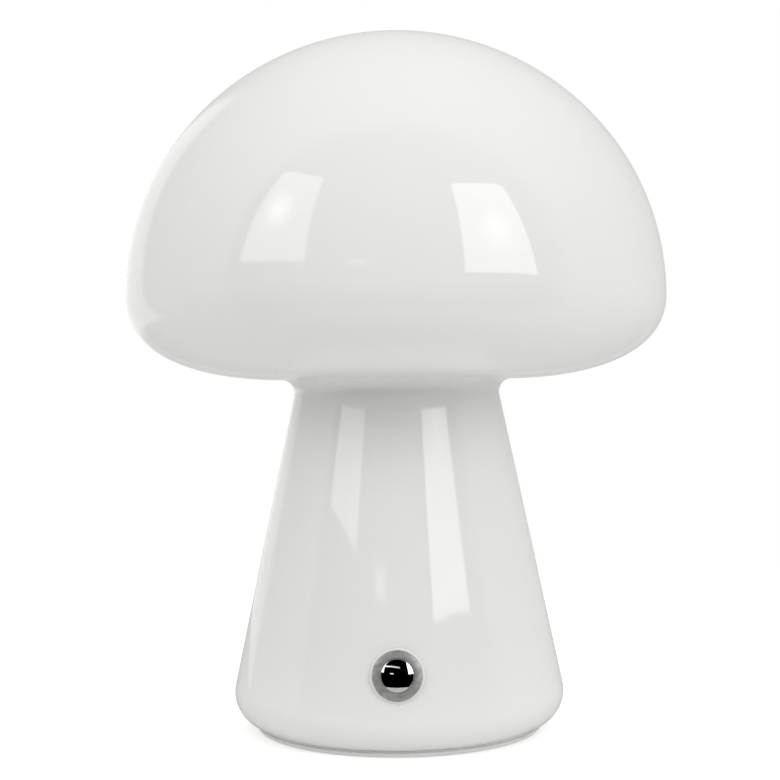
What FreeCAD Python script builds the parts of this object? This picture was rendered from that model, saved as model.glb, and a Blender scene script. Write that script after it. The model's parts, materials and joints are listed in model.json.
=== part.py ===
# A cordless mushroom table lamp: a blown opal glass cap and stem in one piece, closed by a base plate.
# Millimetres and degrees. The origin is at the middle of the surface that the lamp stands on,
# +Z is up, and the front, with the push button, faces -Y.
import FreeCAD, Part
import math
import os

Vector = FreeCAD.Vector
Placement = FreeCAD.Placement
Rotation = FreeCAD.Rotation

ORIGIN = Vector(0, 0, 0)
UP = Vector(0, 0, 1)

# Driving dimensions: the glass
lamp_height = 232.0
cap_radius = 90.0
equator_height = 143.6
underside_height = 116.5
underside_rise = 0.6
cone_radius = 58.0
cone_half_angle = 11.87
neck_fillet = 4.3
heel_radius = 10.8
glass_wall = 3.0
mouth_radius = 41.0
ground_edge = 0.4
# How far the cap's curves run straight on from their ends, as a part of each span
crown_fullness = 0.54
shoulder_fullness = 0.565
rim_fullness = 0.63
underside_fullness = 0.63

# The base
pad_proud = 0.3
pad_recess = 0.5
pad_inner_radius = 34.8
pad_width = 5.2
flange_radius = 47.4
flange_thickness = 1.1
flange_edge = 0.25
gasket_thickness = 0.3
gasket_edge_gap = 2.4
floor_thickness = 2.5
spigot_clearance = 0.5
spigot_wall = 2.0
spigot_above_lip = 2.5
spigot_lead_in = 0.8

# Small screws: head and shank, and the room round a head
screw_head_radius = 2.2
screw_head_height = 1.2
screw_shank_radius = 1.2
screw_play = 0.3
counterbore_depth = 1.6

# Spring clips that catch the glass lip from inside
clip_angle = 60
clip_boss_radius = 3.2
clip_boss_gap = 2.3
clip_width = 6.0
clip_heel = 2.5
clip_strip = 0.5
clip_reach = 2.8
clip_rise = 2.4
clip_screw_length = 5.0

# Inner housing with the cell, the control board and the lamp post
housing_radius = 36.6
housing_half_depth = 24.5
housing_wall = 1.6
housing_top = 3.0
housing_boss_radius = 3.0
housing_boss_gap = 1.2
housing_screw_length = 9.0
window_width = 14.0
cell_radius = 9.2
cell_length = 65.2
cradle_floor = 1.2
cradle_length = 60.0
cradle_cheek = 1.2
cell_edge = 0.5
strap_width = 8.0
strap_thickness = 0.6
tab_thickness = 0.3
tab_width = 6.0
board_gap = 1.5
board_thickness = 1.6
board_edge_gap = 0.8
board_post_radius = 2.4
board_post_x = 11.0
board_screw_length = 5.0
part_headroom = 6.9
chip_size = 5.0
chip_height = 1.4
coil_size = 7.0
coil_height = 4.2
component_x = 14.0
component_y = 6.5
can_radius = 2.5
can_height = 5.4
can_x = 22.5
socket_height = 5.5
socket_depth = 6.0
socket_width = 8.0
lead_radius = 0.6
lead_spacing = 3.0

# The post that carries the light source
post_radius = 9.0
post_wall = 1.5
post_length = 102.0
post_foot_radius = 15.0
post_foot_thickness = 2.5
post_screw_circle = 12.0
post_screw_length = 4.5
spreader_radius = 22.0
spreader_thickness = 2.0
spreader_hub_length = 8.0
hub_clearance = 0.1
lead_hole_radius = 3.4
led_board_radius = 20.0
led_board_thickness = 1.2
led_circle = 15.0
led_count = 12
led_length = 3.5
led_width = 2.8
led_height = 0.7
led_screw_place = 8.0
diffuser_clearance = 0.2
diffuser_wall = 1.4
diffuser_skirt = 3.0

# Fittings through the glass: the push button in front and the charging inlet behind
fitting_height = 26.2
sleeve_radius = 6.6
sleeve_clearance = 0.4
gasket_radius = 8.6
fitting_gasket = 0.5
bezel_radius = 7.7
bezel_thickness = 1.0
bezel_edge = 0.3
washer_radius = 9.0
washer_thickness = 0.7
nut_radius = 9.5
nut_thickness = 2.5
nut_gap = 0.8
holder_radius = 8.0
holder_grip = 1.2
holder_floor = 1.2
holder_clearance = 0.05
holder_rim = 0.9
small_board_thickness = 1.0

# The push button
button_radius = 5.05
button_clearance = 0.1
button_rise = 0.2
dome_rise = 0.9
lip_radius = 5.7
lip_clearance = 0.2
lip_thickness = 0.8
lip_depth = 3.3
stem_radius = 2.0
switch_size = 6.0
switch_height = 3.5
plunger_radius = 1.6
plunger_clearance = 0.1
plunger_grip = 1.0
button_travel = 1.0
plunger_end_gap = 0.3
spring_radius = 5.1
spring_wire_radius = 0.35
spring_turns = 3.5

# The charging inlet, to the standard sizes of its plug
inlet_width = 8.94
inlet_thickness = 3.26
shell_wall = 0.3
inlet_recess = 1.2
inlet_slot_play = 0.15
tongue_width = 6.69
tongue_thickness = 0.7
tongue_length = 4.45
tongue_setback = 0.9

# What follows from them
rim_height = pad_proud + flange_thickness + gasket_thickness
flange_top = pad_proud + flange_thickness
floor_top = pad_proud + floor_thickness
lip_top = rim_height + glass_wall
spigot_radius = mouth_radius - spigot_clearance
spigot_inner = spigot_radius - spigot_wall
spigot_top = lip_top + spigot_above_lip
clip_circle = spigot_inner - clip_boss_radius - clip_boss_gap
housing_inner = housing_radius - housing_wall
housing_inner_half_depth = housing_half_depth - housing_wall
cell_height = floor_top + cradle_floor + cell_radius
board_bottom = cell_height + cell_radius + board_gap
board_top = board_bottom + board_thickness
housing_ceiling = board_top + part_headroom
housing_roof = housing_ceiling + housing_top
boss_y = housing_inner_half_depth - housing_boss_radius - housing_boss_gap
boss_x = math.sqrt((housing_inner - housing_boss_radius - housing_boss_gap) ** 2 - boss_y**2)
post_foot_top = housing_roof + post_foot_thickness
post_top = housing_roof + post_length
spreader_top = post_top + spreader_thickness
led_board_top = spreader_top + led_board_thickness
lead_height = board_top + socket_height / 2
tilt = math.radians(cone_half_angle)


def disc(radius, low, high, x=0, y=0):
    return Part.makeCylinder(radius, high - low, Vector(x, y, low))


def ring(inner, outer, low, high):
    return disc(outer, low, high).cut(disc(inner, low, high))


def block(width, depth, low, high, x=0, y=0):
    return Part.makeBox(width, depth, high - low, Vector(x - width / 2, y - depth / 2, low))


# A solid of revolution about the vertical axis, from edges or from (radius, height) corners
def turned(edges):
    face = Part.Face(Part.Wire(edges))
    return face.revolve(ORIGIN, UP, 360)


def chain(corners):
    points = [Vector(r, 0, z) for r, z in corners]
    return [Part.makeLine(a, b) for a, b in zip(points, points[1:])]


def turned_corners(corners):
    return turned(chain(corners + corners[:1]))


# A prism with two round ends, along the local vertical axis
def slot_prism(width, thickness, low, high):
    radius = thickness / 2
    side = width / 2 - radius
    core = block(2 * side, thickness, low, high)
    ends = [disc(radius, low, high, x) for x in (-side, side)]
    return core.multiFuse(ends).removeSplitter()


# A screw with its head below local zero and its shank pointing up
def screw(length):
    bevel = screw_head_height / 3
    return turned_corners([
        (0, -screw_head_height),
        (screw_head_radius - bevel, -screw_head_height),
        (screw_head_radius, bevel - screw_head_height),
        (screw_head_radius, 0),
        (screw_shank_radius, 0),
        (screw_shank_radius, length),
        (0, length),
    ])


def moved(shape, x, y, z, upside_down=False):
    turn = Rotation(Vector(1, 0, 0), 180 if upside_down else 0)
    copy = shape.copy()
    copy.Placement = Placement(Vector(x, y, z), turn)
    return copy


def four_corners(x, y):
    return [(i * x, j * y) for i in (-1, 1) for j in (-1, 1)]


# An arc between two directions that leave a corner, and its two ends
def rounded_corner(corner, way_in, way_out, radius):
    half = way_in.getAngle(way_out) / 2
    bisector = (way_in + way_out).normalize()
    start = corner + way_in * (radius / math.tan(half))
    end = corner + way_out * (radius / math.tan(half))
    middle = corner + bisector * (radius / math.sin(half) - radius)
    return start, Part.Arc(start, middle, end).toShape(), end


def curve(poles):
    bezier = Part.BezierCurve()
    bezier.setPoles(poles)
    return bezier.toShape()


# The glass outline from the crown to the mouth, moved into the glass by inset
def glass_outline(inset):
    radius = cap_radius - inset
    top = lamp_height - inset
    outward = Vector(cap_radius, 0, underside_rise).normalize()
    down = Vector(math.sin(tilt), 0, -math.cos(tilt))
    inward = Vector(-1, 0, 0)
    neck = Vector(cone_radius - underside_height * math.tan(tilt), 0, underside_height)
    heel = Vector(cone_radius - rim_height * math.tan(tilt), 0, rim_height)
    neck_half = outward.getAngle(down) / 2
    heel_half = inward.getAngle(-down) / 2
    neck -= (outward + down).normalize() * (inset / math.sin(neck_half))
    heel += (inward - down).normalize() * (inset / math.sin(heel_half))
    neck_start, neck_arc, neck_end = rounded_corner(neck, outward, down, neck_fillet + inset)
    heel_start, heel_arc, heel_end = rounded_corner(heel, -down, inward, heel_radius - inset)
    crown = curve([
        Vector(0, 0, top),
        Vector(crown_fullness * radius, 0, top),
        Vector(radius, 0, equator_height + shoulder_fullness * (top - equator_height)),
        Vector(radius, 0, equator_height),
    ])
    drop = rim_fullness * (equator_height - neck_start.z)
    underside = curve([
        Vector(radius, 0, equator_height),
        Vector(radius, 0, equator_height - drop),
        neck_start + outward * (underside_fullness * (radius - neck_start.x)),
        neck_start,
    ])
    cone = Part.makeLine(neck_end, heel_start)
    return [crown, underside, neck_arc, cone, heel_arc], heel_end


# The outline filled to the axis: with no inset the outer body, with the wall as inset the cavity
def glass_filled(inset):
    edges, end = glass_outline(inset)
    floor = [Part.makeLine(end, Vector(0, 0, end.z))]
    axis = [Part.makeLine(Vector(0, 0, end.z), Vector(0, 0, lamp_height - inset))]
    return turned(edges + floor + axis)


def cone_radius_at(height):
    return cone_radius - height * math.tan(tilt)


# Local zero of a fitting is on the outer glass, local Z points straight out and local Y up the cone
def fitting_place(turn):
    lean = Rotation(Vector(1, 0, 0), 90 - cone_half_angle)
    about = Rotation(UP, turn)
    seat = about.multVec(Vector(0, -cone_radius_at(fitting_height), fitting_height))
    return Placement(seat, about.multiply(lean))


def placed(shape, place):
    copy = shape.copy()
    copy.Placement = place
    return copy


# How far the curved inside of the glass falls away from a flat face of this radius
def inner_sag(radius):
    bend = cone_radius_at(fitting_height) / math.cos(tilt) - glass_wall
    return bend - math.sqrt(bend**2 - radius**2)


# Stations along a fitting, counted outwards from the glass
bezel_back = fitting_gasket
bezel_face = fitting_gasket + bezel_thickness
nut_front = -glass_wall - inner_sag(washer_radius) - washer_thickness
nut_back = nut_front - nut_thickness
sleeve_end = nut_back - nut_gap - holder_grip
small_board_front = sleeve_end - holder_floor
small_board_back = small_board_front - small_board_thickness
button_place = fitting_place(0)
inlet_place = fitting_place(180)


def glass_body():
    outer, outer_end = glass_outline(0)
    inner, inner_end = glass_outline(glass_wall)
    edge = ground_edge
    mouth = [
        (outer_end.x, outer_end.z),
        (mouth_radius + edge, rim_height),
        (mouth_radius, rim_height + edge),
        (mouth_radius, lip_top - edge),
        (mouth_radius + edge, lip_top),
        (inner_end.x, inner_end.z),
    ]
    axis = [Part.makeLine(Vector(0, 0, lamp_height - glass_wall), Vector(0, 0, lamp_height))]
    glass = turned(outer + chain(mouth) + inner[::-1] + axis)
    hole_radius = sleeve_radius + sleeve_clearance
    drill = disc(hole_radius, -2 * glass_wall, glass_wall)
    return glass.cut(placed(drill, button_place)).cut(placed(drill, inlet_place))


def rim_gasket():
    return ring(mouth_radius + ground_edge, flange_radius - gasket_edge_gap, flange_top, rim_height)


def clip_places():
    angles = [clip_angle, 180 - clip_angle, 180 + clip_angle, -clip_angle]
    return [Placement(ORIGIN, Rotation(UP, a)) for a in angles]


def base_plate():
    body = turned_corners([
        (0, pad_proud),
        (flange_radius - flange_edge, pad_proud),
        (flange_radius, pad_proud + flange_edge),
        (flange_radius, flange_top - flange_edge),
        (flange_radius - flange_edge, flange_top),
        (spigot_radius, flange_top),
        (spigot_radius, spigot_top - spigot_lead_in),
        (spigot_radius - spigot_lead_in, spigot_top),
        (spigot_inner, spigot_top),
        (spigot_inner, floor_top),
        (0, floor_top),
    ])
    boss = disc(clip_boss_radius, floor_top, spigot_top, clip_circle)
    pilot = disc(screw_shank_radius, spigot_top - clip_screw_length, spigot_top, clip_circle)
    plate = body.multiFuse([placed(boss, p) for p in clip_places()])
    recess = ring(pad_inner_radius, pad_inner_radius + pad_width, pad_proud, pad_proud + pad_recess)
    cuts = [placed(pilot, p) for p in clip_places()] + [recess]
    for x, y in four_corners(boss_x, boss_y):
        head_room = screw_head_radius + screw_play
        cuts.append(disc(head_room, pad_proud, pad_proud + counterbore_depth, x, y))
        cuts.append(disc(screw_shank_radius + screw_play, pad_proud, floor_top, x, y))
    return plate.cut(cuts)


def foot_pad():
    return ring(pad_inner_radius, pad_inner_radius + pad_width, 0, pad_proud + pad_recess)


def housing_screws():
    seat = pad_proud + counterbore_depth
    return [moved(screw(housing_screw_length), x, y, seat) for x, y in four_corners(boss_x, boss_y)]


# A bent strip seen from the side, through (radius, height) points, with its thickness above them
def strip(points, thickness, width):
    upper = []
    for i, (r, z) in enumerate(points):
        before = points[max(i - 1, 0)]
        after = points[min(i + 1, len(points) - 1)]
        bend_in = math.atan2(z - before[1], r - before[0]) if i > 0 else None
        bend_out = math.atan2(after[1] - z, after[0] - r) if i < len(points) - 1 else None
        ways = [w for w in (bend_in, bend_out) if w is not None]
        mean = sum(ways) / len(ways)
        reach = thickness / math.cos((ways[-1] - ways[0]) / 2)
        upper.append((r - math.sin(mean) * reach, z + math.cos(mean) * reach))
    outline = Part.Wire(chain(points + upper[::-1] + points[:1]))
    sheet = Part.Face(outline)
    sheet.translate(Vector(0, -width / 2, 0))
    return sheet.extrude(Vector(0, width, 0))


def glass_clips():
    heel = clip_circle - clip_heel
    tip = mouth_radius + clip_reach
    points = [
        (heel, spigot_top),
        (spigot_radius - spigot_lead_in, spigot_top),
        (spigot_radius + spigot_clearance, spigot_top + clip_rise),
        (tip, lip_top),
    ]
    hole = disc(screw_shank_radius, 0, spigot_top + clip_strip, clip_circle)
    clip = strip(points, clip_strip, clip_width).cut(hole)
    return [placed(clip, p) for p in clip_places()]


def clip_screws():
    seat = moved(screw(clip_screw_length), clip_circle, 0, spigot_top + clip_strip, True)
    return [placed(Part.makeCompound([seat]), p).Solids[0] for p in clip_places()]


# A round piece with a flat front and back
def flatted(radius, half_depth, low, high):
    return disc(radius, low, high).common(block(2 * radius, 2 * half_depth, low, high))


def inner_housing():
    shell = flatted(housing_radius, housing_half_depth, floor_top, housing_roof)
    room = flatted(housing_inner, housing_inner_half_depth, floor_top, housing_ceiling)
    housing = shell.cut(room)
    bosses = []
    for x, y in four_corners(boss_x, boss_y):
        bosses.append(disc(housing_boss_radius, floor_top, housing_ceiling, x, y))
    for x, y in four_corners(board_post_x, boss_y):
        bosses.append(disc(board_post_radius, board_top, housing_ceiling, x, y))
    housing = housing.multiFuse(bosses)
    window = block(window_width, 2 * housing_radius, board_bottom, housing_ceiling)
    screw_end = pad_proud + counterbore_depth + housing_screw_length
    cuts = [window, disc(lead_hole_radius, housing_ceiling, housing_roof)]
    for x, y in four_corners(boss_x, boss_y):
        cuts.append(disc(screw_shank_radius, floor_top, screw_end, x, y))
    for x, y in four_corners(board_post_x, boss_y):
        cuts.append(disc(screw_shank_radius, board_top, board_bottom + board_screw_length, x, y))
    for place in post_screw_places():
        pilot = disc(screw_shank_radius, post_foot_top - post_screw_length, housing_roof, post_screw_circle)
        cuts.append(placed(pilot, place))
    return housing.cut(cuts)


def lying_cylinder(radius, length, height):
    return Part.makeCylinder(radius, length, Vector(-length / 2, 0, height), Vector(1, 0, 0))


def battery_cradle():
    half_depth = cell_radius + cradle_cheek
    tray = block(cradle_length, 2 * half_depth, floor_top, cell_height)
    return tray.cut(lying_cylinder(cell_radius, cradle_length, cell_height))


def battery_cell():
    can = lying_cylinder(cell_radius, cell_length, cell_height)
    ends = [e for e in can.Edges if e.Curve.TypeId == "Part::GeomCircle"]
    return can.makeChamfer(cell_edge, ends)


def battery_strap():
    outer = cell_radius + strap_thickness
    band = lying_cylinder(outer, strap_width, cell_height)
    band = band.cut(lying_cylinder(cell_radius, strap_width, cell_height))
    return band.common(block(strap_width, 2 * outer, cell_height, cell_height + outer))


def cell_tabs():
    top = cell_height + cell_radius - tab_width / 2
    place = cell_length / 2 + tab_thickness / 2
    return [block(tab_thickness, tab_width, cell_height - tab_width / 2, top, s * place) for s in (-1, 1)]


# A lead: straight runs through the points, joined by arcs as large as the runs allow
def lead(points):
    points = [Vector(*p) for p in points]
    edges = []
    start = points[0]
    for before, corner, after in zip(points, points[1:], points[2:]):
        way_in = (before - corner).normalize()
        way_out = (after - corner).normalize()
        shorter = min((before - corner).Length, (after - corner).Length)
        radius = 0.45 * shorter * math.tan(way_in.getAngle(way_out) / 2)
        bend_start, arc, bend_end = rounded_corner(corner, way_in, way_out, radius)
        edges += [Part.makeLine(start, bend_start), arc]
        start = bend_end
    edges.append(Part.makeLine(start, points[-1]))
    section = Part.Wire(Part.makeCircle(lead_radius, points[0], points[1] - points[0]))
    return Part.Wire(edges).makePipeShell([section], True, False)


def battery_leads():
    place = cell_length / 2 + tab_thickness + lead_radius
    return [disc(lead_radius, cell_height, board_bottom, s * place) for s in (-1, 1)]


def control_board():
    edge = housing_inner - board_edge_gap
    board = flatted(edge, housing_inner_half_depth - board_edge_gap, board_bottom, board_top)
    cuts = []
    for i, j in four_corners(1, 1):
        x = i * (boss_x - housing_boss_radius - screw_play + edge / 2)
        y = j * (boss_y - housing_boss_radius - screw_play + edge / 2)
        cuts.append(block(edge, edge, board_bottom, board_top, x, y))
    for x, y in four_corners(board_post_x, boss_y):
        cuts.append(disc(screw_shank_radius + screw_play, board_bottom, board_top, x, y))
    return board.cut(cuts)


def board_screws():
    places = four_corners(board_post_x, boss_y)
    return [moved(screw(board_screw_length), x, y, board_bottom) for x, y in places]


# Two chips, a coil and a regulator in four places, and a capacitor at each end
def board_components():
    parts = []
    for x, y in four_corners(component_x, component_y):
        coil = x > 0 and y > 0
        size = coil_size if coil else chip_size
        height = coil_height if coil else chip_height
        parts.append(block(size, size, board_top, board_top + height, x, y))
    return parts + [disc(can_radius, board_top, board_top + can_height, s * can_x) for s in (-1, 1)]


def socket_row():
    return housing_inner_half_depth - board_edge_gap - socket_depth / 2


def lead_sockets():
    places = [-socket_row(), socket_row()]
    sockets = [block(socket_width, socket_depth, board_top, board_top + socket_height, 0, y) for y in places]
    return sockets + [block(socket_width, socket_depth, board_top, board_top + socket_height)]


# Two leads from the back of a small board, through the housing window, to a socket on the control board
def fitting_leads(place, turn):
    about = Placement(ORIGIN, Rotation(UP, turn))
    leads = []
    for x in (-lead_spacing / 2, lead_spacing / 2):
        start = place.multVec(Vector(x, 0, small_board_back))
        run = place.multVec(Vector(x, 0, small_board_back - socket_depth))
        outside = about.multVec(Vector(x, -housing_radius * 0.75, lead_height))
        socket_face = about.multVec(Vector(x, -socket_row() - socket_depth / 2, lead_height))
        leads.append(lead([start, run, outside, socket_face]))
    return leads


def post_screw_places():
    return [Placement(ORIGIN, Rotation(UP, a)) for a in (90, 210, 330)]


def led_post():
    foot = disc(post_foot_radius, housing_roof, post_foot_top)
    tube = disc(post_radius, housing_roof, post_top)
    cuts = [disc(post_radius - post_wall, housing_roof, post_top)]
    hole = disc(screw_shank_radius, housing_roof, post_foot_top, post_screw_circle)
    cuts += [placed(hole, p) for p in post_screw_places()]
    return foot.fuse(tube).cut(cuts)


def post_screws():
    seat = moved(screw(post_screw_length), post_screw_circle, 0, post_foot_top, True)
    return [placed(Part.makeCompound([seat]), p).Solids[0] for p in post_screw_places()]


def led_heat_spreader():
    hub_radius = post_radius - post_wall - hub_clearance
    return turned_corners([
        (lead_hole_radius, post_top - spreader_hub_length),
        (hub_radius, post_top - spreader_hub_length),
        (hub_radius, post_top),
        (spreader_radius, post_top),
        (spreader_radius, spreader_top),
        (lead_hole_radius, spreader_top),
    ])


def led_board():
    board = disc(led_board_radius, spreader_top, led_board_top)
    holes = [disc(screw_shank_radius, spreader_top, led_board_top, s * led_screw_place) for s in (-1, 1)]
    return board.cut(holes)


def led_chips():
    chip = block(led_length, led_width, led_board_top, led_board_top + led_height, led_circle)
    turns = [360 / led_count * i for i in range(led_count)]
    return [placed(chip, Placement(ORIGIN, Rotation(UP, a))) for a in turns]


def led_board_screws():
    places = [-led_screw_place, led_screw_place]
    return [moved(screw(led_board_thickness), x, 0, led_board_top, True) for x in places]


def led_leads():
    low = board_top + socket_height
    return [disc(lead_radius, low, spreader_top, x) for x in (-lead_spacing / 2, lead_spacing / 2)]


# A domed cover that snaps over the edge of the heat spreader
def led_diffuser():
    inner = spreader_radius + diffuser_clearance
    outer = inner + diffuser_wall
    half = math.sqrt(0.5)
    low = post_top - diffuser_skirt + spreader_thickness
    seat = spreader_top
    ledge = spreader_radius - diffuser_wall

    def dome(radius):
        points = [(radius, seat), (radius * half, seat + radius * half), (0, seat + radius)]
        return Part.Arc(*[Vector(r, 0, z) for r, z in points]).toShape()

    base = chain([(ledge, seat), (inner, seat), (inner, low), (outer, low), (outer, seat)])
    axis = chain([(0, seat + outer), (0, seat + ledge)])
    return turned(base + [dome(outer)] + axis + [dome(ledge)])


# The pieces that both fittings share
def fitting_gasket_ring(place):
    blank = ring(sleeve_radius, gasket_radius, -glass_wall / 2, fitting_gasket)
    return placed(blank, place).cut(glass_filled(0))


def fitting_washer(place):
    blank = ring(sleeve_radius, washer_radius, nut_front, -glass_wall / 2)
    return placed(blank, place).common(glass_filled(glass_wall))


def fitting_nut(place):
    return placed(ring(sleeve_radius, nut_radius, nut_back, nut_front), place)


# A round flange outside the glass and a sleeve through it, still solid
def fitting_bezel():
    return turned_corners([
        (0, bezel_face),
        (bezel_radius - bezel_edge, bezel_face),
        (bezel_radius, bezel_face - bezel_edge),
        (bezel_radius, bezel_back),
        (sleeve_radius, bezel_back),
        (sleeve_radius, sleeve_end),
        (0, sleeve_end),
    ])


# A cup that grips the end of the sleeve and holds a small round board in its back
def fitting_holder(opening):
    front = sleeve_end + holder_grip
    back = small_board_back - holder_rim
    bore = sleeve_radius + holder_clearance
    cup = disc(holder_radius, back, front)
    return cup.cut([disc(bore, sleeve_end, front), disc(bore, back, small_board_front), opening])


def small_board(place):
    return placed(disc(sleeve_radius, small_board_back, small_board_front), place)


lip_bottom = bezel_face - lip_depth - lip_thickness
lip_shoulder = bezel_face - lip_depth
switch_front = small_board_front + switch_height
plunger_tip = switch_front + button_travel + plunger_end_gap


def button_cap():
    edge = bezel_face + button_rise
    sphere = (button_radius**2 + dome_rise**2) / (2 * dome_rise)
    half = math.asin(button_radius / sphere) / 2
    middle = Vector(sphere * math.sin(half), 0, edge + dome_rise - sphere + sphere * math.cos(half))
    dome = Part.Arc(Vector(0, 0, edge + dome_rise), middle, Vector(button_radius, 0, edge)).toShape()
    sides = chain([
        (button_radius, edge),
        (button_radius, lip_shoulder),
        (lip_radius, lip_shoulder),
        (lip_radius, lip_bottom),
        (stem_radius, lip_bottom),
        (stem_radius, plunger_tip),
        (0, plunger_tip),
        (0, edge + dome_rise),
    ])
    return placed(turned([dome] + sides), button_place)


def button_bezel():
    bore = disc(button_radius + button_clearance, lip_shoulder, bezel_face)
    chamber = disc(lip_radius + lip_clearance, sleeve_end, lip_shoulder)
    return placed(fitting_bezel().cut([bore, chamber]), button_place)


def tact_plunger():
    return placed(disc(plunger_radius, switch_front - plunger_grip, plunger_tip), button_place)


def tact_switch():
    floor = switch_front - plunger_grip - button_travel - plunger_end_gap
    body = block(switch_size, switch_size, small_board_front, switch_front)
    return placed(body.cut(disc(plunger_radius + plunger_clearance, floor, switch_front)), button_place)


def switch_holder():
    size = switch_size + 2 * holder_clearance
    opening = block(size, size, small_board_front, sleeve_end)
    return placed(fitting_holder(opening), button_place)


# Two arcs that leave one point and reach the next along the given directions
def biarc(start, start_way, end, end_way):
    gap = end - start
    ways = start_way + end_way
    bend = 2 * (1 - start_way.dot(end_way))
    reach = (math.sqrt(gap.dot(ways) ** 2 + bend * gap.dot(gap)) - gap.dot(ways)) / bend
    first = start + start_way * reach
    last = end - end_way * reach
    joint = (first + last) * 0.5
    arcs = []
    for a, corner, b in ((start, first, joint), (joint, last, end)):
        chord = (b - a) * 0.5
        middle = a + chord
        height = (corner - middle).Length
        sagitta = chord.Length * math.tan(math.atan2(height, chord.Length) / 2)
        arcs.append(Part.Arc(a, middle + (corner - middle) * (sagitta / height), b).toShape())
    return arcs


# A coil spring round the stem, from the holder's floor to the cap's lip
def button_spring():
    low = sleeve_end + spring_wire_radius
    high = lip_bottom - spring_wire_radius
    pitch = (high - low) / spring_turns
    rise = pitch / (2 * math.pi * spring_radius)

    def point(turn):
        angle = 2 * math.pi * turn
        return Vector(spring_radius * math.cos(angle), spring_radius * math.sin(angle), low + pitch * turn)

    def way(turn):
        angle = 2 * math.pi * turn
        return Vector(-math.sin(angle), math.cos(angle), rise).normalize()

    arcs = []
    for i in range(round(spring_turns * 2)):
        arcs += biarc(point(i / 2), way(i / 2), point((i + 1) / 2), way((i + 1) / 2))
    section = Part.Wire(Part.makeCircle(spring_wire_radius, point(0), way(0)))
    return placed(Part.Wire(arcs).makePipeShell([section], True, False), button_place)


shell_front = bezel_face - inlet_recess


def inlet_slot(low, high):
    play = 2 * inlet_slot_play
    return slot_prism(inlet_width + play, inlet_thickness + play, low, high)


def inlet_bezel():
    slot = inlet_slot(sleeve_end, bezel_face)
    return placed(fitting_bezel().cut(slot), inlet_place)


def inlet_holder():
    opening = inlet_slot(small_board_front, sleeve_end)
    return placed(fitting_holder(opening), inlet_place)


def usb_cavity(low, high):
    return slot_prism(inlet_width - 2 * shell_wall, inlet_thickness - 2 * shell_wall, low, high)


def usb_shell():
    outer = slot_prism(inlet_width, inlet_thickness, small_board_front, shell_front)
    return placed(outer.cut(usb_cavity(small_board_front, shell_front)), inlet_place)


def usb_tongue():
    root = shell_front - tongue_setback - tongue_length
    core = usb_cavity(small_board_front, root)
    blade = block(tongue_width, tongue_thickness, root, root + tongue_length)
    return placed(core.fuse(blade), inlet_place)


pieces = {
    "glass_body": glass_body(),
    "rim_gasket": rim_gasket(),
    "base_plate": base_plate(),
    "foot_pad": foot_pad(),
    "housing_screws": housing_screws(),
    "glass_clips": glass_clips(),
    "clip_screws": clip_screws(),
    "inner_housing": inner_housing(),
    "battery_cradle": battery_cradle(),
    "battery_cell": battery_cell(),
    "battery_strap": battery_strap(),
    "cell_tabs": cell_tabs(),
    "battery_leads": battery_leads(),
    "control_board": control_board(),
    "board_screws": board_screws(),
    "board_components": board_components(),
    "lead_sockets": lead_sockets(),
    "led_post": led_post(),
    "post_screws": post_screws(),
    "led_heat_spreader": led_heat_spreader(),
    "led_board": led_board(),
    "led_chips": led_chips(),
    "led_board_screws": led_board_screws(),
    "led_leads": led_leads(),
    "led_diffuser": led_diffuser(),
    "button_cap": button_cap(),
    "button_bezel": button_bezel(),
    "button_gasket": fitting_gasket_ring(button_place),
    "button_washer": fitting_washer(button_place),
    "button_nut": fitting_nut(button_place),
    "button_spring": button_spring(),
    "tact_plunger": tact_plunger(),
    "tact_switch": tact_switch(),
    "switch_holder": switch_holder(),
    "switch_board": small_board(button_place),
    "switch_leads": fitting_leads(button_place, 0),
    "inlet_bezel": inlet_bezel(),
    "inlet_gasket": fitting_gasket_ring(inlet_place),
    "inlet_washer": fitting_washer(inlet_place),
    "inlet_nut": fitting_nut(inlet_place),
    "inlet_holder": inlet_holder(),
    "usb_shell": usb_shell(),
    "usb_tongue": usb_tongue(),
    "usb_board": small_board(inlet_place),
    "inlet_leads": fitting_leads(inlet_place, 180),
}

os.makedirs("parts", exist_ok=True)
for name, shape in pieces.items():
    solid = Part.makeCompound(shape) if isinstance(shape, list) else shape
    solid.exportStep(f"parts/{name}.step")
    print(f"{name}: {len(solid.Solids)} solids, valid {solid.isValid()}, {solid.Volume / 1000:.3f} cm3")
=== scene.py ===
# Mushroom table lamp in opal glass, with a chrome push button near the foot.
# Metres, +Z up, front towards -Y.
import json
import math

import bmesh
import bpy
import numpy as np
from mathutils import Matrix, Vector

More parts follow.
